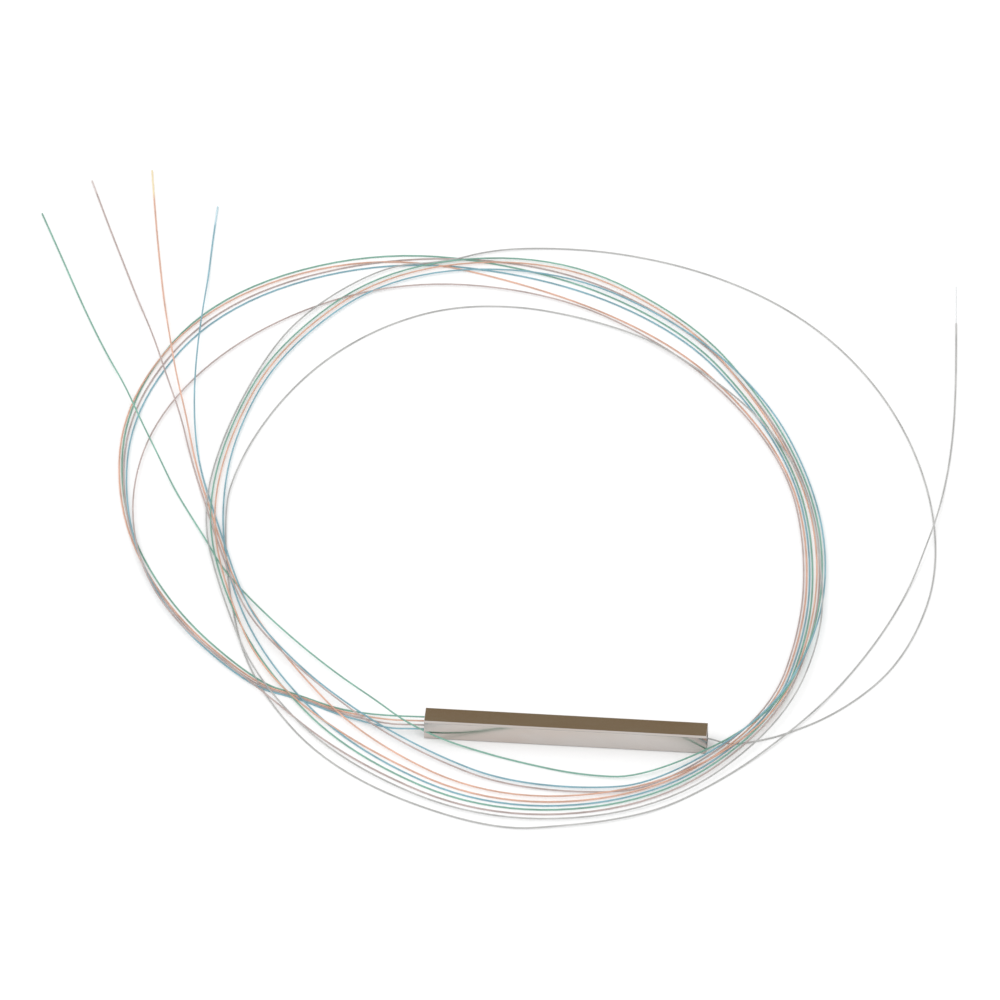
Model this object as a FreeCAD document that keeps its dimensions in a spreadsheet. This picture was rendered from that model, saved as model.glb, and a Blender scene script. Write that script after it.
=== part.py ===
import FreeCAD, Part
import math
import os

import Sketcher
from FreeCAD import Placement, Rotation, Vector

# A 1 x 4 planar lightwave splitter in a square steel tube, with bare fibre pigtails.
# Frame: the tube lies on the ground along X, centred, underside at z = 0.
# The input fibre leaves at +X, the four outputs at -X, and all five are wound in one loose coil.
# Every length is in millimetres.

doc = FreeCAD.newDocument("fibre_splitter")
sheet = doc.addObject("Spreadsheet::Sheet", "Sizes")

driving_sizes = [
    ("tube_length", 50.0),    # along X
    ("tube_side", 4.0),       # outside, square
    ("tube_wall", 0.4),
    ("tube_corner", 0.35),    # outside corner radius of the drawn section
    ("bore_corner", 0.15),    # inside corner radius
    ("end_break", 0.06),      # deburred edge at each end
    ("bed_thick", 0.35),      # silicone under the optics
    ("bed_width", 2.0),
    ("bed_inset", 1.5),       # the bed stops this far short of each block's outer end
    ("chip_length", 12.0),
    ("optics_width", 2.4),    # chip, blocks and lids are one width
    ("chip_base", 1.25),      # underside to the waveguide plane
    ("lid_thick", 1.0),       # glass over the fibres
    ("chip_lid_length", 2.5),
    ("glue_line", 0.05),      # adhesive between chip and block, and under the coated fibre
    ("groove_length", 3.5),   # the block's grooved, lidded part
    ("ledge_length", 3.0),    # the block's step, where the coated fibre lies
    ("bead_height", 0.75),    # adhesive over the ledge
    ("bead_crown", 3.6),      # radius of the bead's rounded top
    ("bead_inset", 0.25),     # the bead keeps this far inside the ledge's edges
    ("array_pitch", 0.35),    # between the output fibres in the block
    ("fibre_size", 0.3),      # coated fibre
    ("glass_size", 0.125),    # bare glass of a stripped fibre
    ("seal_thick", 2.0),
    ("seal_recess", 0.8),     # the seal's face sits this far inside the tube
    ("exit_pitch", 0.76),     # sideways between the output fibres at the seal
    ("exit_rise", 0.28),      # upward between the output fibres at the seal
    ("fan_run", 1.0),         # straight fibre at each end of the fan inside the tube
    ("coil_layers", 3.0),     # fibres on top of each other in the coil
    ("tip_length", 11.1),     # stripped end of the input fibre
]
for row, (name, value) in enumerate(driving_sizes, start=1):
    sheet.set(f"A{row}", name)
    sheet.set(f"B{row}", str(value))
    sheet.setAlias(f"B{row}", name)
doc.recompute()


def size(name):
    return float(sheet.get(name))


def value_of(expression):
    # The sheet works an expression out, as it does for the sketches.
    return float(sheet.evalExpression(expression))


output_colours = ["green", "orange", "brown", "blue"]
output_count = len(output_colours)
middle_output = (output_count - 1) / 2

# Derived heights and stations, as expressions on the sheet.
floor_z = "Sizes.tube_wall"
base_z = "(Sizes.tube_wall + Sizes.bed_thick)"
axis_z = "(Sizes.tube_wall + Sizes.bed_thick + Sizes.chip_base)"
ledge_z = f"({axis_z} - Sizes.fibre_size / 2 - Sizes.glue_line)"
lid_z = f"({axis_z} + Sizes.glass_size / 2)"
top_z = f"({lid_z} + Sizes.lid_thick)"
block_x = "(Sizes.chip_length / 2 + Sizes.glue_line)"
step_x = f"({block_x} + Sizes.groove_length)"
block_end_x = f"({step_x} + Sizes.ledge_length)"
seal_x = "(Sizes.tube_length / 2 - Sizes.seal_recess - Sizes.seal_thick)"

parts = {}    # node name to document object
turned = Placement(Vector(0, 0, 0), Rotation(Vector(0, 0, 1), 180))


def origin_plane(body, role):
    return next(f for f in body.Origin.OriginFeatures if f.Role == role)


def new_body(node, end):
    # A piece of the output end is drawn at +X like an input one and turned half a turn.
    body = doc.addObject("PartDesign::Body", node)
    body.Label = node
    if end == "output":
        body.Placement = turned
    parts[node] = body
    return body


def place_sketch(body, name, role, along="0", across="0"):
    # along moves the sketch off its plane, across moves it along its own horizontal axis.
    sketch = body.newObject("Sketcher::SketchObject", name)
    sketch.AttachmentSupport = [(origin_plane(body, role), "")]
    sketch.MapMode = "FlatFace"
    sketch.setExpression("AttachmentOffset.Base.z", along)
    sketch.setExpression("AttachmentOffset.Base.x", across)
    return sketch


def constrain(sketch, name, expression, *where):
    index = sketch.addConstraint(Sketcher.Constraint(*where, value_of(expression)))
    sketch.renameConstraint(index, name)
    sketch.setExpression(f"Constraints.{name}", expression)


def section_sketch(body, name, along, wide, low, tall):
    # A rectangle across the tube, centred on y = 0, from height low upward.
    sketch = place_sketch(body, name, "YZ_Plane", along)
    half, foot, head = value_of(wide) / 2, value_of(low), value_of(f"{low} + {tall}")
    corners = [Vector(-half, foot, 0), Vector(half, foot, 0), Vector(half, head, 0),
               Vector(-half, head, 0)]
    for start, stop in zip(corners, corners[1:] + corners[:1]):
        sketch.addGeometry(Part.LineSegment(start, stop))
    for line in range(4):
        sketch.addConstraint(Sketcher.Constraint("Coincident", line, 2, (line + 1) % 4, 1))
    for line, direction in ((1, "Vertical"), (2, "Horizontal"), (3, "Vertical")):
        sketch.addConstraint(Sketcher.Constraint(direction, line))
    sketch.addConstraint(Sketcher.Constraint("Symmetric", 0, 1, 0, 2, -2))
    constrain(sketch, "wide", wide, "DistanceX", 0, 1, 0, 2)
    constrain(sketch, "tall", tall, "DistanceY", 1, 1, 1, 2)
    if low == "0":
        sketch.addConstraint(Sketcher.Constraint("PointOnObject", 0, 1, -1))
    else:
        constrain(sketch, "low", low, "DistanceY", -1, 1, 0, 1)
    return sketch


def pad(body, name, sketch, length, centred=False):
    feature = body.newObject("PartDesign::Pad", name)
    feature.Profile = sketch
    feature.setExpression("Length", length)
    feature.Midplane = centred
    return feature


def pocket(body, name, sketch, length, centred=False, reverse=True):
    # A pocket runs against its sketch's normal unless it is reversed.
    feature = body.newObject("PartDesign::Pocket", name)
    feature.Profile = sketch
    feature.setExpression("Length", length)
    feature.Midplane = centred
    feature.Reversed = reverse
    return feature


def block_piece(node, end, from_x, length, low, tall, wide="Sizes.optics_width"):
    body = new_body(node, end)
    sketch = section_sketch(body, f"{node}_section", from_x, wide, low, tall)
    pad(body, f"{node}_pad", sketch, length)
    return body


def long_edges(feature, length, half_width):
    # Names of the edges that run the length of the tube at this distance from its middle plane.
    names = []
    for number, edge in enumerate(feature.Shape.Edges, start=1):
        ends = [vertex.Point for vertex in edge.Vertexes]
        runs_along = len(ends) == 2 and abs(abs(ends[0].x - ends[1].x) - length) < 1e-6
        if runs_along and abs(abs(ends[0].y) - half_width) < 1e-6:
            names.append(f"Edge{number}")
    return names


def round_edges(body, name, base, half_width, radius):
    fillet = body.newObject("PartDesign::Fillet", name)
    fillet.Base = (base, long_edges(base, size("tube_length"), half_width))
    fillet.setExpression("Radius", radius)
    doc.recompute()
    return fillet


def make_tube():
    body = new_body("steel_tube", "input")
    outside = section_sketch(body, "tube_outside", "0", "Sizes.tube_side", "0", "Sizes.tube_side")
    bar = pad(body, "tube_bar", outside, "Sizes.tube_length", centred=True)
    doc.recompute()
    rounded = round_edges(body, "tube_corners", bar, size("tube_side") / 2, "Sizes.tube_corner")
    bore_side = "Sizes.tube_side - 2 * Sizes.tube_wall"
    inside = section_sketch(body, "tube_bore_section", "0", bore_side, floor_z, bore_side)
    bore = pocket(body, "tube_bore", inside, "Sizes.tube_length + Sizes.tube_side",
                  centred=True)
    doc.recompute()
    bore_half = size("tube_side") / 2 - size("tube_wall")
    hollow = round_edges(body, "bore_corners", bore, bore_half, "Sizes.bore_corner")
    end_edges = []
    for number, edge in enumerate(hollow.Shape.Edges, start=1):
        box = edge.BoundBox
        at_end = abs(abs(box.XMin) - size("tube_length") / 2) < 1e-6 and box.XLength < 1e-6
        reach = max(abs(box.YMin), abs(box.YMax), abs(box.ZMax - size("tube_side") / 2),
                    abs(box.ZMin - size("tube_side") / 2))
        if at_end and reach > bore_half + size("tube_wall") / 2:
            end_edges.append(f"Edge{number}")
    chamfer = body.newObject("PartDesign::Chamfer", "tube_end_breaks")
    chamfer.Base = (hollow, end_edges)
    chamfer.setExpression("Size", "Sizes.end_break")


def make_chip():
    bed_reach = f"({block_end_x} - Sizes.bed_inset)"
    block_piece("bonding_bed", "input", f"-1 * {bed_reach}", f"2 * {bed_reach}",
                floor_z, "Sizes.bed_thick", wide="Sizes.bed_width")
    block_piece("plc_chip", "input", "-1 * Sizes.chip_length / 2", "Sizes.chip_length",
                base_z, "Sizes.chip_base")
    lid_x = "Sizes.chip_length / 2 - Sizes.chip_lid_length"
    for end in ("input", "output"):
        block_piece(f"chip_lid_{end}", end, lid_x, "Sizes.chip_lid_length",
                    axis_z, f"{top_z} - {axis_z}")


def cut_grooves(body, node, count):
    # A 60 degree V seats the bare glass with its centre on the waveguide plane.
    # The first groove is the one furthest to the side; the others follow at the array pitch.
    first = f"-1 * {(count - 1) / 2} * Sizes.array_pitch"
    sketch = place_sketch(body, f"{node}_vee", "YZ_Plane", block_x, first)
    half_mouth, mouth_z = size("glass_size") / 2, value_of(axis_z)
    left, right = Vector(-half_mouth, mouth_z, 0), Vector(half_mouth, mouth_z, 0)
    tip = Vector(0, mouth_z - size("glass_size"), 0)
    for start, stop in ((left, right), (right, tip), (tip, left)):
        sketch.addGeometry(Part.LineSegment(start, stop))
    for line in range(3):
        sketch.addConstraint(Sketcher.Constraint("Coincident", line, 2, (line + 1) % 3, 1))
    sketch.addConstraint(Sketcher.Constraint("Symmetric", 0, 1, 0, 2, -2))
    sketch.addConstraint(Sketcher.Constraint("PointOnObject", 1, 2, -2))
    constrain(sketch, "mouth", "2 * Sizes.glass_size * tan(30)", "DistanceX", 0, 1, 0, 2)
    constrain(sketch, "tip_z", f"{axis_z} - Sizes.glass_size", "DistanceY", -1, 1, 1, 2)
    constrain(sketch, "mouth_z", axis_z, "DistanceY", -1, 1, 0, 1)
    groove = pocket(body, f"{node}_groove", sketch, "Sizes.groove_length")
    doc.recompute()
    if count > 1:
        pattern = body.newObject("PartDesign::LinearPattern", f"{node}_grooves")
        pattern.Originals = [groove]
        pattern.Direction = (sketch, ["H_Axis"])
        pattern.setExpression("Length", f"{count - 1} * Sizes.array_pitch")
        pattern.Occurrences = count
        body.Tip = pattern


def make_block(end, count):
    body = new_body(f"{end}_block", end)
    low_part = section_sketch(body, f"{end}_ledge_section", block_x, "Sizes.optics_width",
                              base_z, f"{ledge_z} - {base_z}")
    pad(body, f"{end}_ledge", low_part, f"{block_end_x} - {block_x}")
    high_part = section_sketch(body, f"{end}_grooved_section", block_x, "Sizes.optics_width",
                               ledge_z, f"{axis_z} - {ledge_z}")
    pad(body, f"{end}_grooved_part", high_part, "Sizes.groove_length")
    doc.recompute()
    cut_grooves(body, f"{end}_block", count)
    block_piece(f"{end}_block_lid", end, block_x, "Sizes.groove_length", lid_z, "Sizes.lid_thick")
    block_piece(f"{end}_glue_line", end, "Sizes.chip_length / 2", "Sizes.glue_line",
                base_z, f"{top_z} - {base_z}")


def fibre_holes(body, name, along, places):
    # Round passages along X, one for each fibre; places gives each hole's y and z expressions.
    sketch = place_sketch(body, name, "YZ_Plane", along)
    for number, (y, z) in enumerate(places):
        centre = Vector(value_of(y), value_of(z), 0)
        sketch.addGeometry(Part.Circle(centre, Vector(0, 0, 1), size("fibre_size") / 2))
        constrain(sketch, f"bore{number}", "Sizes.fibre_size", "Diameter", number)
        constrain(sketch, f"y{number}", y, "DistanceX", -1, 1, number, 3)
        constrain(sketch, f"z{number}", z, "DistanceY", -1, 1, number, 3)
    return sketch


def array_places(count):
    return [(f"{middle - (count - 1) / 2} * Sizes.array_pitch", axis_z) for middle in range(count)]


def exit_places(count):
    # Seen from outside the output end the fan rises to one side.
    steps = [number - (count - 1) / 2 for number in range(count)]
    return [(f"{step} * Sizes.exit_pitch", f"{axis_z} - {step} * Sizes.exit_rise") for step in steps]


def make_bead(end, count):
    # Adhesive on the ledge: upright against the lid, then falling in an arc to the ledge.
    body = new_body(f"{end}_bead", end)
    sketch = place_sketch(body, f"{end}_bead_side", "XZ_Plane")
    reach = "Sizes.ledge_length - Sizes.bead_inset"
    foot = Vector(value_of(step_x), value_of(ledge_z), 0)
    heel = foot + Vector(0, size("bead_height"), 0)
    toe = foot + Vector(value_of(reach), 0, 0)
    crest = (heel + toe) / 2 + Vector(0, size("bead_inset"), 0)
    sketch.addGeometry(Part.LineSegment(foot, heel))
    sketch.addGeometry(Part.Arc(heel, crest, toe))
    sketch.addGeometry(Part.LineSegment(toe, foot))
    sketch.addConstraint(Sketcher.Constraint("Coincident", 0, 2, 1, 2))
    sketch.addConstraint(Sketcher.Constraint("Coincident", 1, 1, 2, 1))
    sketch.addConstraint(Sketcher.Constraint("Coincident", 2, 2, 0, 1))
    sketch.addConstraint(Sketcher.Constraint("Vertical", 0))
    sketch.addConstraint(Sketcher.Constraint("Horizontal", 2))
    constrain(sketch, "heel_x", step_x, "DistanceX", -1, 1, 0, 1)
    constrain(sketch, "ledge", ledge_z, "DistanceY", -1, 1, 0, 1)
    constrain(sketch, "rise", "Sizes.bead_height", "DistanceY", 0, 1, 0, 2)
    constrain(sketch, "reach", reach, "DistanceX", 2, 2, 2, 1)
    constrain(sketch, "crown", "Sizes.bead_crown", "Radius", 1)
    pad(body, f"{end}_bead_pad", sketch, "Sizes.optics_width - 2 * Sizes.bead_inset", centred=True)
    doc.recompute()
    holes = fibre_holes(body, f"{end}_bead_hole_places", step_x, array_places(count))
    pocket(body, f"{end}_bead_holes", holes, "Sizes.ledge_length")


def make_seal(end, places):
    body = block_piece(f"{end}_seal", end, seal_x, "Sizes.seal_thick", floor_z,
                       "Sizes.tube_side - 2 * Sizes.tube_wall",
                       wide="Sizes.tube_side - 2 * Sizes.tube_wall")
    doc.recompute()
    plug = body.Tip
    edges = long_edges(plug, size("seal_thick"), size("tube_side") / 2 - size("tube_wall"))
    fillet = body.newObject("PartDesign::Fillet", f"{end}_seal_corners")
    fillet.Base = (plug, edges)
    fillet.setExpression("Radius", "Sizes.bore_corner")
    doc.recompute()
    holes = fibre_holes(body, f"{end}_seal_hole_places", seal_x, places)
    pocket(body, f"{end}_seal_holes", holes, "Sizes.seal_thick")


def rounded_path(points):
    # Straight runs joined by arcs that take up 0.45 of the shorter run on each side of a point.
    points = [Vector(*point) for point in points]
    edges = []
    radii = []
    start = points[0]
    for before, corner, after in zip(points, points[1:], points[2:]):
        back = (before - corner).normalize()
        ahead = (after - corner).normalize()
        half_turn = (math.pi - back.getAngle(ahead)) / 2
        cut = 0.45 * min(corner.distanceToPoint(before), corner.distanceToPoint(after))
        radius = cut / math.tan(half_turn)
        inward = (back + ahead).normalize()
        middle = corner + inward * (radius / math.cos(half_turn) - radius)
        edges.append(Part.LineSegment(start, corner + back * cut).toShape())
        edges.append(Part.Arc(corner + back * cut, middle, corner + ahead * cut).toShape())
        start = corner + ahead * cut
        radii.append(radius)
    edges.append(Part.LineSegment(start, points[-1]).toShape())
    return Part.Wire(edges), radii


def fibre_section(centre, heading, diameter, flat_width):
    # A circle, or for a long stretch a plain figure with flats of about that width that fits in it.
    if not flat_width:
        return Part.Wire([Part.Circle(centre, heading, diameter / 2).toShape()])
    flats = round(math.pi * diameter / flat_width)
    sideways = heading.cross(Vector(0, 0, 1)).normalize()
    upward = sideways.cross(heading)
    corners = []
    for corner in range(flats):
        turn = math.pi * (2 * corner + 1) / flats
        corners.append(centre + sideways * (diameter / 2 * math.cos(turn))
                       + upward * (diameter / 2 * math.sin(turn)))
    return Part.makePolygon(corners + corners[:1])


def fibre_tube(node, points, diameter, flat_width=0):
    wire, radii = rounded_path(points)
    heading = wire.OrderedEdges[0].tangentAt(wire.OrderedEdges[0].FirstParameter)
    section = fibre_section(Vector(*points[0]), heading, diameter, flat_width)
    tube = wire.makePipeShell([section], True, False)
    expected = Part.Face(section).Area * wire.Length
    error = abs(tube.Volume - expected) / expected
    if error > 0.01 or not tube.isValid():
        raise RuntimeError(f"{node}: tube volume {tube.Volume:.3f}, expected {expected:.3f}")
    print(f"{node}: length {wire.Length:.1f} mm, smallest radius {min(radii, default=0):.1f} mm")
    return tube


def add_shape(node, shape):
    feature = doc.addObject("Part::Feature", node)
    feature.Label = node
    feature.Shape = shape
    parts[node] = feature


fibre_size = size("fibre_size")
axis_height = value_of(axis_z)
seal_face = size("tube_length") / 2 - size("seal_recess")
coil_height = size("coil_layers") * fibre_size
low = fibre_size / 2                  # a fibre that lies on the ground
mid = coil_height / 2                 # inside the coil
over = 4 * fibre_size                 # over another loose fibre
high = coil_height + 3 * low          # over the coil, with daylight under it
loose_flat = 0.15                     # width of a flat on a long loose stretch
outline_fit = 0.05                    # between the coil's outline and the arcs that draw it


def output_exit(number):
    step = middle_output - number
    return step * size("exit_pitch"), axis_height + step * size("exit_rise")


def inside_fibre(node, side, start_y, end_y, end_z):
    # Bare glass in its groove, then the coated fibre over the ledge and out through the seal.
    glass_start = side * value_of(block_x)
    strip = side * value_of(step_x)
    straight_end = side * (value_of(block_end_x) + size("fan_run"))
    seal_start = side * (value_of(seal_x) - size("fan_run"))
    along = Vector(side, 0, 0)
    glass = Part.makeCylinder(size("glass_size") / 2, size("groove_length"),
                              Vector(glass_start, start_y, axis_height), along)
    if end_y == start_y and end_z == axis_height:
        coated = Part.makeCylinder(fibre_size / 2, seal_face - abs(strip),
                                   Vector(strip, start_y, axis_height), along)
    else:
        coated = fibre_tube(node, [(strip, start_y, axis_height),
                                   (straight_end, start_y, axis_height),
                                   (seal_start, end_y, end_z),
                                   (side * seal_face, end_y, end_z)], fibre_size)
    add_shape(node, glass.fuse(coated))


# The coil's plan, seen from above: distances from its centre at these bearings in degrees
# anticlockwise from +X. The left side opens into two bands with a lens-shaped gap between them.
coil_centre = (-12.0, 55.0)
coil_outer = [(0, 55.0), (22.5, 54.2), (45, 57.5), (67.5, 66.4), (90, 77.8), (112.5, 84.0),
              (135, 86.6), (157.5, 80.4), (180, 74.6), (202.5, 67.8), (225, 63.0), (247.5, 71.8),
              (270, 79.2), (281.25, 79.0), (292.5, 76.0), (303.75, 73.0), (315, 67.0), (337.5, 59.4)]
coil_inner = [(0, 50.2), (22.5, 49.6), (45, 52.8), (67.5, 58.4), (90, 67.6), (112.5, 73.6),
              (135, 66.2), (157.5, 58.0), (180, 52.8), (202.5, 52.0), (225, 51.5), (247.5, 57.5),
              (258.75, 61.5), (270, 62.6), (281.25, 64.6), (292.5, 67.6), (303.75, 69.8),
              (315, 62.4), (337.5, 54.4)]
gap_outside = [(122, 75.2), (135, 75.2), (157.5, 73.4), (180, 70.2), (202.5, 64.8), (221, 60.6)]
gap_inside = [(122, 75.2), (135, 70.2), (157.5, 60.8), (180, 56.6), (202.5, 57.2), (221, 60.6)]


def coil_arcs(stations, closed):
    # A smooth line through the stations, drawn as tangent arcs.
    curve = Part.BSplineCurve()
    places = []
    for bearing, reach in stations:
        turn = math.radians(bearing)
        places.append(Vector(coil_centre[0] + reach * math.cos(turn),
                             coil_centre[1] + reach * math.sin(turn), 0))
    curve.interpolate(places, PeriodicFlag=closed)
    return [arc.toShape() for arc in curve.toBiArcs(outline_fit)]


def make_coil():
    outer = Part.Wire(coil_arcs(coil_outer, True))
    inner = Part.Wire(coil_arcs(coil_inner, True))
    gap_edges = coil_arcs(gap_outside, False) + coil_arcs(gap_inside, False)
    gap = Part.Wire(Part.sortEdges(gap_edges)[0])
    plan = Part.Face(outer).cut(Part.Face(inner)).cut(Part.Face(gap))
    return plan.Faces[0].extrude(Vector(0, 0, coil_height))


# Routes of the loose stretches. A route that starts or ends in the coil is trimmed at its side.
input_lead_route = [
    (seal_face, 0.0, axis_height), (seal_face + 3.2, 0.2, 1.95), (seal_face + 7.8, 1.6, 1.7),
    (38.0, 4.4, 1.45), (44.5, 8.8, 0.95), (50.5, 15.0, low), (55.6, 23.0, low), (59.4, 33.5, low),
    (61.8, 46.0, low), (61.6, 59.5, low), (59.2, 74.0, low), (54.6, 88.8, low),
    (48.0, 102.6, low), (39.0, 115.3, low), (27.6, 125.6, low), (13.8, 133.2, low),
    (-1.0, 137.0, low), (-14.0, 137.4, low), (-24.5, 135.6, mid), (-33.0, 131.0, mid)]
input_tail_route = [
    (5.0, -21.0, mid), (12.5, -19.4, mid), (19.0, -16.0, low), (25.5, -11.2, low),
    (31.4, -5.2, low), (36.9, 1.4, low), (42.2, 8.8, low), (47.0, 17.2, low),
    (51.4, 26.4, low), (55.2, 36.0, low), (58.4, 46.4, low), (60.5, 56.0, over),
    (61.9, 63.4, over), (62.9, 72.6, low), (63.6, 82.0, low), (63.8, 92.0, low),
    (63.6, 102.0, low), (63.2, 112.2, low), (62.7, 121.8, low)]
input_turn_route = [
    (11.0, 109.4, mid), (3.0, 114.4, mid), (-7.5, 118.2, low), (-19.0, 119.7, low),
    (-31.0, 118.0, low), (-41.5, 111.8, low), (-50.5, 102.4, low), (-57.6, 91.4, low),
    (-62.6, 79.6, low), (-65.2, 68.5, mid), (-66.4, 58.0, mid)]
tail_routes = {
    "green": [
        (-65.0, 40.4, mid), (-68.6, 47.8, mid), (-72.6, 55.6, low), (-76.4, 63.0, low),
        (-80.0, 70.6, high), (-84.2, 80.2, high), (-88.2, 90.0, high), (-91.6, 97.8, low),
        (-95.6, 106.6, low), (-100.0, 117.2, low), (-104.5, 128.6, low), (-109.2, 140.2, low)],
    "orange": [
        (-66.6, 49.2, mid), (-69.0, 56.8, mid), (-71.6, 65.0, low), (-73.9, 73.4, low),
        (-76.0, 82.0, high), (-79.0, 93.4, high), (-81.6, 105.4, high), (-83.7, 116.0, low),
        (-85.9, 128.4, low), (-88.1, 141.6, low), (-90.1, 154.8, low)],
    "brown": [
        (-67.1, 49.0, mid), (-69.5, 56.6, mid), (-72.1, 64.9, low), (-74.6, 73.4, low),
        (-77.0, 82.0, high), (-80.6, 92.6, high), (-84.4, 104.4, high), (-88.4, 115.6, low),
        (-92.6, 127.2, low), (-96.9, 139.0, low), (-101.0, 150.8, low)],
    "blue": [
        (-66.1, 49.4, mid), (-68.5, 57.0, mid), (-71.1, 65.2, low), (-73.2, 73.6, low),
        (-74.6, 82.4, high), (-75.6, 93.0, high), (-76.1, 104.0, high), (-76.2, 114.6, high),
        (-76.3, 124.6, low), (-76.6, 134.8, low), (-76.7, 145.0, low)],
}


def lead_route(number):
    # Out of the seal, down to the ground and into the coil's near side.
    step = middle_output - number
    exit_y, exit_z = output_exit(number)
    return [(-seal_face, exit_y, exit_z), (-seal_face - 3.0, exit_y, exit_z - 0.1),
            (-seal_face - 7.0, 1.3 + 0.55 * step, 1.2),
            (-seal_face - 11.8, 2.4 + 0.5 * step, mid)]


def make_fibres():
    coil = make_coil()
    add_shape("fibre_coil", coil)
    inside_fibre("input_fibre_inside", 1, 0, 0, axis_height)
    for number, colour in enumerate(output_colours):
        exit_y, exit_z = output_exit(number)
        array_y = (middle_output - number) * size("array_pitch")
        inside_fibre(f"{colour}_fibre_inside", -1, array_y, exit_y, exit_z)
    loose = {"input_lead": input_lead_route, "input_tail": input_tail_route,
             "input_inner_turn": input_turn_route}
    for number, colour in enumerate(output_colours):
        loose[f"{colour}_lead"] = lead_route(number)
        loose[f"{colour}_tail"] = tail_routes[colour]
    for node, route in loose.items():
        tube = fibre_tube(node, route, fibre_size, loose_flat).cut(coil)
        longest = max(tube.Solids, key=lambda solid: solid.Volume)
        print(f"{node}: {len(tube.Solids)} piece(s) after trimming")
        add_shape(node, longest)
    end = Vector(*input_tail_route[-1])
    heading = end - Vector(*input_tail_route[-2])
    add_shape("input_bare_tip", Part.makeCylinder(size("glass_size") / 2, size("tip_length"),
                                                  end, heading))


make_tube()
make_chip()
for end, count in (("input", 1), ("output", output_count)):
    make_block(end, count)
    make_bead(end, count)
make_seal("input", [("0", axis_z)])
make_seal("output", exit_places(output_count))
doc.recompute()
make_fibres()
doc.recompute()

for item in doc.Objects:
    if "Invalid" in item.State or "Error" in item.State:
        raise RuntimeError(f"{item.Label} is {item.State}")
for node, item in parts.items():
    if item.Shape.isNull() or not item.Shape.isValid() or not item.Shape.Solids:
        raise RuntimeError(f"{node} has no valid solid")

os.makedirs("parts", exist_ok=True)
for node, item in parts.items():
    item.Shape.exportStep(f"parts/{node}.step")
    box = item.Shape.BoundBox
    print(f"{node}: {len(item.Shape.Solids)} solid, {item.Shape.Volume:.3f} mm3, "
          f"x {box.XMin:.2f} {box.XMax:.2f}, y {box.YMin:.2f} {box.YMax:.2f}, "
          f"z {box.ZMin:.2f} {box.ZMax:.2f}")
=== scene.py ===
import math

import bpy
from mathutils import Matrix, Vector


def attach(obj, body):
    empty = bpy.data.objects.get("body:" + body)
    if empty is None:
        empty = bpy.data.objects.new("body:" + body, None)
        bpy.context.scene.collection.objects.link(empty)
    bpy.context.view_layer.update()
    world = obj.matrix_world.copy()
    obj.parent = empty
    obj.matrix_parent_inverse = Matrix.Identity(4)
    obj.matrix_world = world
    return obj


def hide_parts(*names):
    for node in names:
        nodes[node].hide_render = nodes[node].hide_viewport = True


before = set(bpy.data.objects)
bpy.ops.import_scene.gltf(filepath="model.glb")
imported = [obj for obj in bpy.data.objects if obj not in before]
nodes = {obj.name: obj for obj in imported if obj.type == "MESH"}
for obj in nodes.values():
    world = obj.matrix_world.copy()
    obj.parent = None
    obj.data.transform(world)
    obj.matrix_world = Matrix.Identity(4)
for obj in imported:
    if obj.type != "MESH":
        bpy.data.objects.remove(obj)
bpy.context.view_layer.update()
scene = bpy.context.scene
mm = 0.001


# Camera: a long lens, so that the slim tube and the wide coil share one scale.
view = {
    "lens": 400.0,
    "sensor": 36.0,
    "elevation": 40.0,            # degrees above the floor
    "azimuth": 4.75,              # degrees round from straight ahead
    "aim": (-17.05, 64.49, 0.0),  # mm, on the floor
    "distance": 2012.9,           # mm
    "nearest": 0.01,              # m, what lies nearer isn't drawn
    "farthest": 20,               # m
}


def makeCamera():
    data = bpy.data.cameras.new("camera")
    data.lens = view["lens"]
    data.sensor_width = view["sensor"]
    data.clip_start, data.clip_end = view["nearest"], view["farthest"]
    camera = bpy.data.objects.new("camera", data)
    scene.collection.objects.link(camera)
    rise, swing = math.radians(view["elevation"]), math.radians(view["azimuth"])
    back = Vector((math.sin(swing) * math.cos(rise), -math.cos(swing) * math.cos(rise),
                   math.sin(rise)))
    camera.location = (Vector(view["aim"]) + back * view["distance"]) * mm
    camera.rotation_euler = (-back).to_track_quat("-Z", "Y").to_euler()
    scene.camera = camera


makeCamera()
print("camera placed")


# Fibres. All places are in mm. The coil is laid by clock bearings round its centre, anticlockwise
# from +X, with a reach at each bearing; the loose stretches are points listed one by one.
fibre = {
    "size": 0.3,
    "centre": (-12.0, 55.0),
    "bearings": 16,
    "smoothness": 10,             # curve steps between points
    "roundness": 3,               # bevel steps round the fibre
}
step = 360 / fibre["bearings"]
spread = 1 / math.cos(math.radians(step / 2))   # control points stand this much outside the line
# Heights of a fibre's middle: on the floor, over one other fibre, over the whole coil.
low = fibre["size"] / 2
mid = 0.45
high = 1.35


def around(bearing, reach, height):
    turn = math.radians(bearing)
    across = reach * spread
    return (fibre["centre"][0] + across * math.cos(turn),
            fibre["centre"][1] + across * math.sin(turn), height)


def anticlockwise(start, reaches, layer, rides, turn=step):
    # rides: at which bearings it passes over others, and over how many more of them.
    points = []
    for number, reach in enumerate(reaches):
        bearing = start + turn * number
        under = layer + rides.get(bearing % 360, 0)
        points.append(around(bearing, reach, low + fibre["size"] * under))
    return points


def clockwise(start, reaches, layer, rides):
    return anticlockwise(start, reaches, layer, rides, -step)


# The turns rise in a flat cone over the input fibre where it leaves the tube.
crossing = {
    "middle": (30.5, 0.5),
    "rise": 1.5,
    "reach": 22,
}


def overLead(points):
    middleX, middleY = crossing["middle"]
    raised = []
    for x, y, z in points:
        away = math.hypot(x - middleX, y - middleY)
        raised.append((x, y, z + crossing["rise"] * max(0, 1 - away / crossing["reach"])))
    return raised


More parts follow.
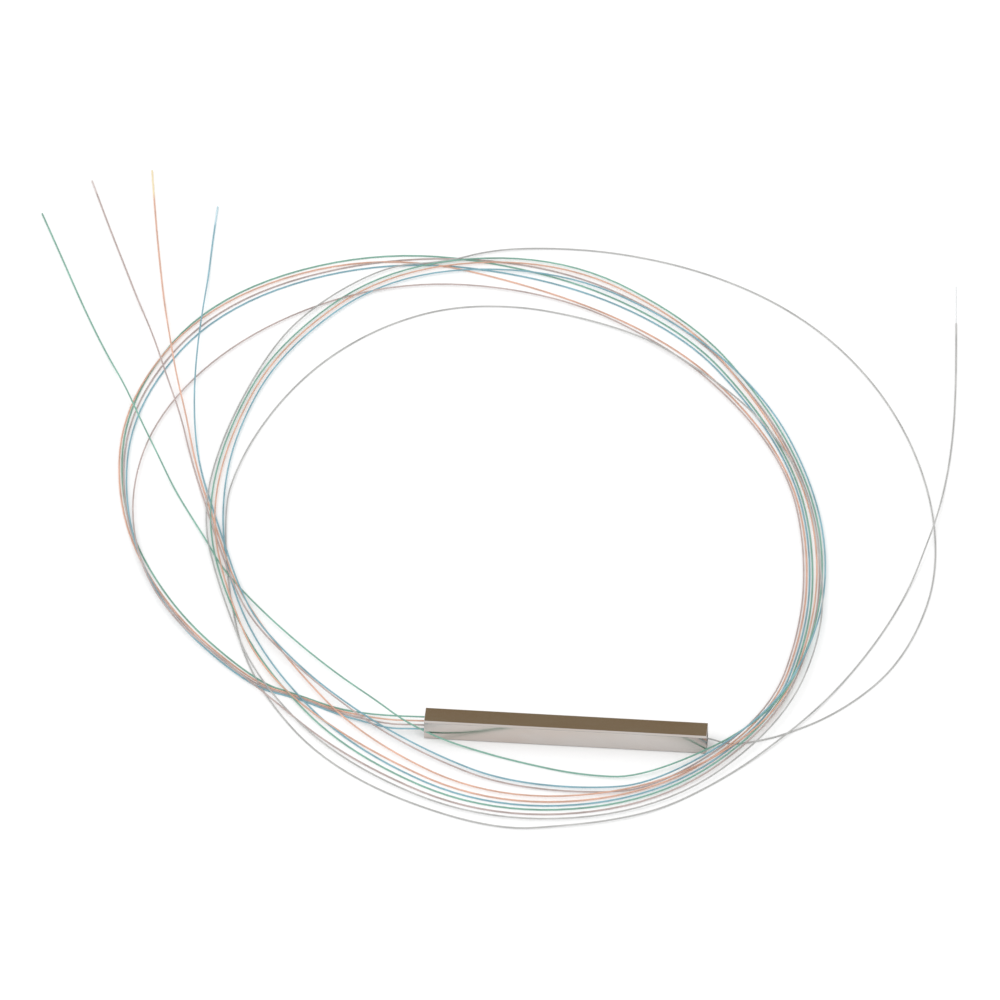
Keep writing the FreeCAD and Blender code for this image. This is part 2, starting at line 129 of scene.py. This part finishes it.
# Bearings 225, 202.5 and so on: up the left side, over the top, down the right, along the bottom.
firstTurn = {
    "green": [61.4, 65.2, 71.9, 80.5, 88.0, 85.3, 74.3, 64.2,
              54.8, 51.4, 51.5, 56.5, 67.3, 75.2, 74.9, 66.2],
    "orange": [62.0, 66.0, 72.5, 80.9, 86.9, 84.2, 68.9, 59.9,
               53.0, 50.4, 50.5, 55.3, 66.2, 73.4, 72.7, 63.6],
    "brown": [62.6, 66.6, 71.8, 79.7, 85.8, 83.1, 76.6, 65.6,
              56.2, 52.4, 52.9, 57.6, 67.8, 76.2, 76.2, 67.6],
    "blue": [63.2, 67.2, 71.4, 78.8, 84.8, 82.1, 72.5, 63.3,
             54.2, 50.9, 51.0, 55.9, 66.8, 74.3, 73.8, 64.8],
}
firstRides = {
    "green": {},
    "orange": {157.5: 1, 135: 1},
    "brown": {202.5: 1, 180: 1},
    "blue": {202.5: 2, 180: 2},
}
# The second turn starts at the same bearing and lies a layer higher.
secondTurn = {
    "green": [58.6, 55.3, 56.5, 60.0, 69.2, 79.9, 79.4, 67.1,
              56.7, 52.8, 53.4, 57.9, 66.9],
    "orange": [59.6, 54.8, 55.7, 59.2, 68.4, 78.8, 78.1, 66.3,
               55.5, 51.9, 52.4, 57.0, 67.7, 72.5, 71.4, 61.6],
    "brown": [62.4, 67.8, 70.9, 74.1, 75.7, 75.3, 68.2, 58.5,
              52.2, 49.9, 49.9, 54.8, 65.8],
    "blue": [57.4, 53.9, 54.0, 58.4, 67.4, 77.6, 75.4, 64.9,
             57.4, 53.4, 54.0, 58.4, 66.3],
}
secondRides = {
    "green": {337.5: 1, 315: 1},
    "orange": {225: 1, 202.5: 1},
    "brown": {225: 1, 202.5: 2, 180: 2},
    "blue": {67.5: 1, 45: 1, 337.5: 2, 315: 2},
}
# The last stretch along the bottom: three of them cut the corner on their own.
shortCut = {
    "green": [
        (15.0, -9.9, 0.7), (3.4, -9.7, 0.2), (-9.0, -6.7, low), (-16.0, -4.4, 0.2),
        (-21.0, -3.0, 0.7), (-25.6, -1.7, 1.9), (-29.5, 0.6, 2.3), (-34.0, 5.5, 1.7),
        (-41.4, 12.9, 0.7), (-49.4, 21.0, 0.6), (-57.6, 30.2, 0.75)],
    "orange": [around(225, 54.0, 0.75), around(202.5, 52.8, 0.75)],
    "brown": [
        (17.0, -12.6, 0.5), (3.4, -14.6, 0.35), (-10.8, -13.2, 0.3), (-21.4, -8.6, 0.6),
        (-31.6, -2.5, 1.1), (-39.4, 4.0, 1.5), (-47.6, 12.4, 1.3),
        around(213.75, 53.6, 1.0), around(202.5, 53.2, 0.9)],
    "blue": [
        (16.8, -11.6, 0.8), (3.4, -13.4, 0.3), (-10.8, -12.1, 0.3), (-21.4, -7.4, 0.6),
        (-31.6, -1.3, 1.1), (-39.4, 4.9, 1.3), (-47.6, 13.0, 1.2),
        around(213.75, 53.0, 1.1), around(202.5, 52.4, 1.0)],
}
# The four leave the tube's left end side by side, each one lower than the one behind it.
mouth = {
    "away": 24.2,                 # from the middle of the tube, inside its end
    "height": 2.0,
    "pitch": 0.76,
    "rise": 0.28,
}
lead = {}
for number, colour in enumerate(("green", "orange", "brown", "blue")):
    side = 1.5 - number
    exitY, exitZ = mouth["pitch"] * side, mouth["height"] + mouth["rise"] * side
    lead[colour] = [(-mouth["away"], exitY, exitZ), (-27.2, exitY, exitZ - 0.1),
                    (-31.2, 0.6 + 1.15 * side, 1.2), (-36.0, 2.3 + 0.72 * side, mid),
                    (-41.6, 4.1 + 0.45 * side, low), (-48.0, 7.2 + 0.3 * side, low)]
tail = {
    "green": [
        (-65.0, 40.4, mid), (-68.6, 47.8, mid), (-72.6, 55.6, low), (-76.4, 63.0, low),
        (-80.0, 70.6, high), (-84.2, 80.2, high), (-88.2, 90.0, high), (-91.6, 97.8, low),
        (-95.6, 106.6, low), (-100.0, 117.2, low), (-104.5, 128.6, low), (-109.2, 140.2, low)],
    "orange": [
        (-66.6, 49.2, mid), (-69.0, 56.8, mid), (-71.6, 65.0, low), (-73.9, 73.4, low),
        (-76.0, 82.0, high), (-79.0, 93.4, high), (-81.6, 105.4, high), (-83.7, 116.0, low),
        (-85.9, 128.4, low), (-88.1, 141.6, low), (-90.1, 154.8, low)],
    "brown": [
        (-67.1, 49.0, mid), (-69.5, 56.6, mid), (-72.1, 64.9, low), (-74.6, 73.4, low),
        (-77.0, 82.0, high), (-80.6, 92.6, high), (-84.4, 104.4, high), (-88.4, 115.6, low),
        (-92.6, 127.2, low), (-96.9, 139.0, low), (-101.0, 150.8, low)],
    "blue": [
        (-66.1, 49.4, mid), (-68.5, 57.0, mid), (-71.1, 65.2, low), (-73.2, 73.6, low),
        (-74.6, 82.4, high), (-75.6, 93.0, high), (-76.1, 104.0, high), (-76.2, 114.6, high),
        (-76.3, 124.6, low), (-76.6, 134.8, low), (-76.7, 145.0, low)],
}
# The clear fibre: out under the coil, up the right and over the top; a turn down the left, along
# the bottom and up the right; over the top on the inside; along the bottom; up the right to its tip.
clearRoute = {
    "out": [
        (24.2, 0.0, 2.0), (25.7, 0.1, 1.85), (27.3, 0.3, 1.0), (29.2, 0.7, 0.3),
        (31.8, 1.4, low), (34.8, 2.5, low), (38.0, 4.0, low), (44.7, 8.5, low),
        (50.9, 14.9, low), (56.2, 22.8, low), (60.1, 33.3, low), (62.5, 46.0, low),
        (62.4, 59.6, low), (60.0, 74.4, low), (55.3, 89.4, low), (48.6, 103.2, low),
        (39.4, 116.0, low), (27.9, 126.3, low), (13.9, 133.7, low), (-1.0, 137.5, low),
        (-14.0, 137.9, low), (-24.5, 136.0, mid), (-33.0, 131.6, mid)],
    "overTop": [around(112.5, 79.6, 0.5), around(123.75, 74.9, 0.75)],
    "turn": [69.8, 60.5, 57.4, 55.8, 61.2, 69.2, 77.6, 77.8, 69.2, 59.3, 52.5, 52.2, 53.8],
    "rides": {337.5: 2, 0: 2, 22.5: 1, 45: 1},
    "innerTurn": [
        (10.8, 108.9, 0.75), (2.9, 114.0, mid), (-7.5, 118.2, low), (-19.0, 120.3, low),
        (-31.4, 118.8, low), (-42.3, 112.6, low), (-51.5, 103.1, low), (-58.2, 91.9, low),
        (-62.9, 79.8, low), (-65.5, 68.5, mid), (-66.6, 58.0, mid)],
    "bottom": [54.6, 62.2, 71.9, 79.1],
    "toTip": [
        (4.5, -22.9, mid), (12.8, -20.2, mid), (19.3, -16.5, low), (25.5, -11.2, low),
        (31.4, -5.2, low), (36.9, 1.4, 0.5), (42.2, 8.8, 0.5), (47.0, 17.2, low),
        (51.4, 26.4, low), (55.2, 36.0, low), (58.4, 46.4, low), (60.5, 56.0, 1.2),
        (61.9, 63.4, 1.2), (62.9, 72.6, low), (63.6, 82.0, low), (63.8, 92.0, low),
        (63.6, 102.0, low), (63.2, 112.2, low), (62.7, 121.8, low)],
}


def layFibre(name, points):
    curve = bpy.data.curves.new(name, "CURVE")
    curve.dimensions = "3D"
    curve.bevel_depth = 1         # times each point's radius, which the curve's box counts too
    curve.bevel_resolution = fibre["roundness"]
    curve.use_fill_caps = True
    spline = curve.splines.new("NURBS")
    spline.points.add(len(points) - 1)
    for point, place in zip(spline.points, points):
        point.co = (*(Vector(place) * mm), 1)
        point.radius = fibre["size"] / 2 * mm
    spline.order_u = 3
    spline.use_endpoint_u = True
    spline.resolution_u = fibre["smoothness"]
    piece = bpy.data.objects.new(name, curve)
    scene.collection.objects.link(piece)
    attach(piece, "root")
    return piece


fibres = {}
for colour in lead:
    route = lead[colour] + overLead(clockwise(225, firstTurn[colour], 0, firstRides[colour])
                                    + clockwise(225, secondTurn[colour], 1, secondRides[colour]))
    route += shortCut[colour] + tail[colour]
    piece = layFibre(f"{colour}_fibre", route)
    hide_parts(f"{colour}_lead", f"{colour}_tail")
    fibres[colour] = piece

clearPoints = (clearRoute["out"] + clearRoute["overTop"]
               + overLead(anticlockwise(135, clearRoute["turn"], 1, clearRoute["rides"]))
               + clearRoute["innerTurn"]
               + anticlockwise(202.5, clearRoute["bottom"], 0, {})
               + clearRoute["toTip"])
clearFibre = layFibre("clear_fibre", clearPoints)
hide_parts("input_lead", "input_inner_turn", "input_tail", "fibre_coil")
fibres["clear"] = clearFibre
print("fibres laid")


# Finishes.
def newMaterial(name):
    material = bpy.data.materials.new(name)
    material.use_nodes = True
    tree = material.node_tree
    return material, tree, tree.nodes["Principled BSDF"]


def addNode(tree, kind, **settings):
    node = tree.nodes.new(kind)
    for name, value in settings.items():
        setattr(node, name, value)
    return node


def objectPlace(tree, stretch=(1, 1, 1)):
    # Coordinates in metres of the part itself, scaled along each axis.
    place = addNode(tree, "ShaderNodeTexCoord").outputs["Object"]
    mapping = addNode(tree, "ShaderNodeMapping")
    mapping.inputs["Scale"].default_value = stretch
    tree.links.new(place, mapping.inputs["Vector"])
    return mapping.outputs["Vector"]


def noise(tree, vector, scale, detail, roughness=0.5):
    texture = addNode(tree, "ShaderNodeTexNoise")
    texture.inputs["Scale"].default_value = scale
    texture.inputs["Detail"].default_value = detail
    texture.inputs["Roughness"].default_value = roughness
    tree.links.new(vector, texture.inputs["Vector"])
    return texture.outputs["Fac"]


def ramp(tree, factor, first, last, margin=0.3):
    # From one grey or colour to another, each of them held over the margin at its end.
    node = addNode(tree, "ShaderNodeValToRGB")
    stops = ((margin, first), (1 - margin, last))
    for element, (place, shade) in zip(node.color_ramp.elements, stops):
        element.position = place
        element.color = (*shade, 1) if isinstance(shade, tuple) else (shade, shade, shade, 1)
    tree.links.new(factor, node.inputs["Fac"])
    return node.outputs["Color"]


def layColour(tree, factor, under, over):
    node = addNode(tree, "ShaderNodeMix", data_type="RGBA")
    tree.links.new(factor, node.inputs[0])
    tree.links.new(under, node.inputs[6])
    node.inputs[7].default_value = (*over, 1)
    return node.outputs[2]


def bump(tree, surface, height, depth):
    node = addNode(tree, "ShaderNodeBump")
    node.inputs["Distance"].default_value = depth
    node.inputs["Strength"].default_value = 1
    tree.links.new(height, node.inputs["Height"])
    tree.links.new(node.outputs["Normal"], surface.inputs["Normal"])


def nearPlace(tree, place, full, reach):
    # 1 as far as the full distance from a place in mm, falling to 0 at the reach.
    centre = addNode(tree, "ShaderNodeVectorMath", operation="DISTANCE")
    tree.links.new(addNode(tree, "ShaderNodeTexCoord").outputs["Object"], centre.inputs[0])
    centre.inputs[1].default_value = Vector(place) * mm
    span = addNode(tree, "ShaderNodeMapRange", clamp=True)
    span.inputs["From Min"].default_value = full * mm
    span.inputs["From Max"].default_value = reach * mm
    span.inputs["To Min"].default_value = 1
    span.inputs["To Max"].default_value = 0
    tree.links.new(centre.outputs["Value"], span.inputs["Value"])
    return span.outputs["Result"]


def setAll(surface, **values):
    for name, value in values.items():
        surface.inputs[name.replace("_", " ")].default_value = value


# A thin acrylate coating: clear, or tinted by its own colour, and bleached at some of the tips.
coating = {
    "clear": {"shade": (0.50, 0.50, 0.49)},
    "green": {"shade": (0.24, 0.47, 0.38)},
    "orange": {"shade": (0.73, 0.46, 0.35), "tip": (0.88, 0.80, 0.50), "tipLength": 9.0},
    "brown": {"shade": (0.52, 0.43, 0.41), "tip": (0.72, 0.64, 0.62), "tipLength": 4.5},
    "blue": {"shade": (0.25, 0.46, 0.53), "tip": (0.60, 0.78, 0.84), "tipLength": 6.0},
    "bleached": 0.75,             # share of the tip's length before it fades
    "roughness": 0.28,
    "ior": 1.5,
    "clearness": 0.3,             # share of the light that is refracted
    "lightThrough": 0.85,         # share of the light that reaches what lies under a strand
    "variation": 0.14,            # lighter and darker along the fibre
    "patches": 160,               # roughly how many to the metre, as for all such counts below
    "ripples": 2500,
    "rippleDepth": 0.00001,       # m
}


def passLight(tree, surface, tint):
    # A thin clear strand throws only a faint shadow, and that is lightly tinted.
    through = addNode(tree, "ShaderNodeBsdfTransparent")
    passed = (coating["lightThrough"] * min(1, 0.5 + value / 2) for value in tint)
    through.inputs["Color"].default_value = (*passed, 1)
    path = addNode(tree, "ShaderNodeLightPath")
    shader = surface.outputs["BSDF"]
    for ray in ("Is Diffuse Ray", "Is Shadow Ray"):
        mix = addNode(tree, "ShaderNodeMixShader")
        tree.links.new(path.outputs[ray], mix.inputs["Fac"])
        tree.links.new(shader, mix.inputs[1])
        tree.links.new(through.outputs["BSDF"], mix.inputs[2])
        shader = mix.outputs["Shader"]
    out = next(node for node in tree.nodes if node.type == "OUTPUT_MATERIAL")
    tree.links.new(shader, out.inputs["Surface"])


def coatingMaterial(colour):
    settings = coating[colour]
    material, tree, surface = newMaterial(f"{colour}Coating")
    patches = noise(tree, objectPlace(tree), coating["patches"], 3)
    lean = coating["variation"]
    darker = tuple(value * (1 - lean) for value in settings["shade"])
    lighter = tuple(min(1, value * (1 + lean)) for value in settings["shade"])
    finish = ramp(tree, patches, darker, lighter, 0.35)
    if "tip" in settings:
        reach = settings["tipLength"]
        near = nearPlace(tree, tail[colour][-1], coating["bleached"] * reach, reach)
        finish = layColour(tree, near, finish, settings["tip"])
    tree.links.new(finish, surface.inputs["Base Color"])
    setAll(surface, Roughness=coating["roughness"], IOR=coating["ior"],
           Transmission_Weight=coating["clearness"])
    bump(tree, surface, noise(tree, objectPlace(tree), coating["ripples"], 2),
         coating["rippleDepth"])
    passLight(tree, surface, lighter)
    return material


for colour, piece in fibres.items():
    piece.data.materials.append(coatingMaterial(colour))


# The tube is drawn stainless steel: fine draw lines along it, a faint tint here and there.
steel = {
    "colour": (0.58, 0.545, 0.52),
    "tint": (0.56, 0.50, 0.46),
    "roughness": (0.12, 0.22),
    "anisotropy": 0.35,
    "stains": 70,
    "stainStretch": (1, 3, 3),
    "lines": 9000,
    "lineStretch": (0.02, 1, 1),
    "lineDepth": 0.0000022,       # m
}


def steelMaterial():
    material, tree, surface = newMaterial("drawnSteel")
    setAll(surface, Metallic=1.0, Anisotropic=steel["anisotropy"])
    stains = noise(tree, objectPlace(tree, steel["stainStretch"]), steel["stains"], 3)
    tree.links.new(ramp(tree, stains, steel["tint"], steel["colour"], 0.35),
                   surface.inputs["Base Color"])
    lines = noise(tree, objectPlace(tree, steel["lineStretch"]), steel["lines"], 3, 0.6)
    tree.links.new(ramp(tree, lines, *steel["roughness"]), surface.inputs["Roughness"])
    bump(tree, surface, lines, steel["lineDepth"])
    return material


# Everything inside the tube, the two seals and the bare tip: glass and resin, each a bit cloudy.
# deeper and rougher say how far the shade and the roughness go from place to place.
glass = {"ior": 1.46, "grain": 1200, "detail": 3, "deeper": 0.93, "rougher": 2, "depth": 0.000004}
resin = {"ior": 1.5, "detail": 4, "deeper": 0.85, "rougher": 1.3, "depth": 0.00002}
cloudy = {
    "silicaGlass": {
        **glass, "shade": (0.93, 0.96, 0.97), "clearness": 0.9, "roughness": 0.04,
        "pieces": ("plc_chip", "input_bare_tip")},
    "borosilicateGlass": {
        **glass, "shade": (0.86, 0.92, 0.94), "clearness": 0.75, "roughness": 0.12,
        "pieces": ("input_block", "output_block")},
    "lidGlass": {
        **glass, "shade": (0.90, 0.94, 0.94), "clearness": 0.82, "roughness": 0.08,
        "pieces": ("chip_lid_input", "chip_lid_output", "input_block_lid",
                   "output_block_lid")},
    "clearAdhesive": {
        **resin, "shade": (0.86, 0.80, 0.62), "clearness": 0.45, "roughness": 0.22, "grain": 900,
        "pieces": ("input_glue_line", "output_glue_line", "input_bead", "output_bead")},
    "softSilicone": {
        **resin, "shade": (0.80, 0.81, 0.80), "clearness": 0.15, "roughness": 0.5, "grain": 600,
        "pieces": ("bonding_bed",)},
    "darkSeal": {
        **resin, "shade": (0.30, 0.28, 0.26), "clearness": 0.0, "roughness": 0.42, "grain": 1500,
        "pieces": ("input_seal", "output_seal")},
}


def cloudyMaterial(name):
    settings = cloudy[name]
    material, tree, surface = newMaterial(name)
    setAll(surface, IOR=settings["ior"], Transmission_Weight=settings["clearness"])
    grain = noise(tree, objectPlace(tree), settings["grain"], settings["detail"])
    shade, rough = settings["shade"], settings["roughness"]
    deep = tuple(value * settings["deeper"] for value in shade)
    tree.links.new(ramp(tree, grain, deep, shade), surface.inputs["Base Color"])
    tree.links.new(ramp(tree, grain, rough, rough * settings["rougher"]),
                   surface.inputs["Roughness"])
    bump(tree, surface, grain, settings["depth"])
    return material


def dress(material, *names):
    for name in names:
        data = nodes[name].data
        data.materials.clear()
        data.materials.append(material)


dress(steelMaterial(), "steel_tube")
for name, settings in cloudy.items():
    dress(cloudyMaterial(name), *settings["pieces"])
dress(fibres["clear"].data.materials[0], "input_fibre_inside")
for colour in lead:
    dress(fibres[colour].data.materials[0], f"{colour}_fibre_inside")
print("finishes made")


# Floor, sky and lamp, in metres. The brown card above is what the tube's top face mirrors.
stage = {
    "floor": {"shade": (0.93, 0.93, 0.93), "roughness": 0.9, "reach": 4},
    "card": {"shade": (0.32, 0.25, 0.16), "place": (-0.07, 0.80, 0.66), "size": 0.9},
    "key": {"place": (-0.9, -0.5, 1.6), "size": 1.2, "power": 9.0},
    "sky": 1.0,
}


def stageSheet(name, corners, material):
    mesh = bpy.data.meshes.new(name)
    mesh.from_pydata(corners, [], [(0, 1, 2, 3)])
    mesh.materials.append(material)
    sheet = bpy.data.objects.new(name, mesh)
    scene.collection.objects.link(sheet)
    return sheet


def makeFloor():
    settings = stage["floor"]
    material, _, surface = newMaterial("paleFloor")
    setAll(surface, Base_Color=(*settings["shade"], 1), Roughness=settings["roughness"],
           Specular_IOR_Level=0.0)
    reach = settings["reach"]
    stageSheet("floor", [(-reach, -reach, 0), (reach, -reach, 0), (reach, reach, 0),
                         (-reach, reach, 0)], material)


def makeCard():
    settings = stage["card"]
    material = bpy.data.materials.new("brownCard")
    material.use_nodes = True
    tree = material.node_tree
    tree.nodes.clear()
    glow = addNode(tree, "ShaderNodeEmission")
    glow.inputs["Color"].default_value = (*settings["shade"], 1)
    out = addNode(tree, "ShaderNodeOutputMaterial")
    tree.links.new(glow.outputs["Emission"], out.inputs["Surface"])
    middle = Vector(settings["place"])
    facing = -middle.normalized()
    across = facing.cross(Vector((0, 0, 1))).normalized() * settings["size"] / 2
    along = across.cross(facing).normalized() * settings["size"] / 2
    corners = (middle - across - along, middle + across - along,
               middle + across + along, middle - across + along)
    card = stageSheet("card", [tuple(corner) for corner in corners], material)
    card.visible_camera = False
    card.visible_diffuse = False
    card.visible_transmission = False
    card.visible_shadow = False


def makeLamp():
    settings = stage["key"]
    data = bpy.data.lights.new("softKey", "AREA")
    data.size, data.energy = settings["size"], settings["power"]
    lamp = bpy.data.objects.new("softKey", data)
    lamp.location = settings["place"]
    lamp.rotation_euler = (-Vector(settings["place"])).to_track_quat("-Z", "Y").to_euler()
    lamp.visible_glossy = False
    scene.collection.objects.link(lamp)


def makeSky():
    world = bpy.data.worlds.new("studio")
    world.use_nodes = True
    sky = world.node_tree.nodes["Background"]
    sky.inputs["Color"].default_value = (1, 1, 1, 1)
    sky.inputs["Strength"].default_value = stage["sky"]
    scene.world = world


makeFloor()
makeCard()
makeLamp()
makeSky()
scene.view_settings.view_transform = "Standard"
print("stage set")

bpy.context.view_layer.update()
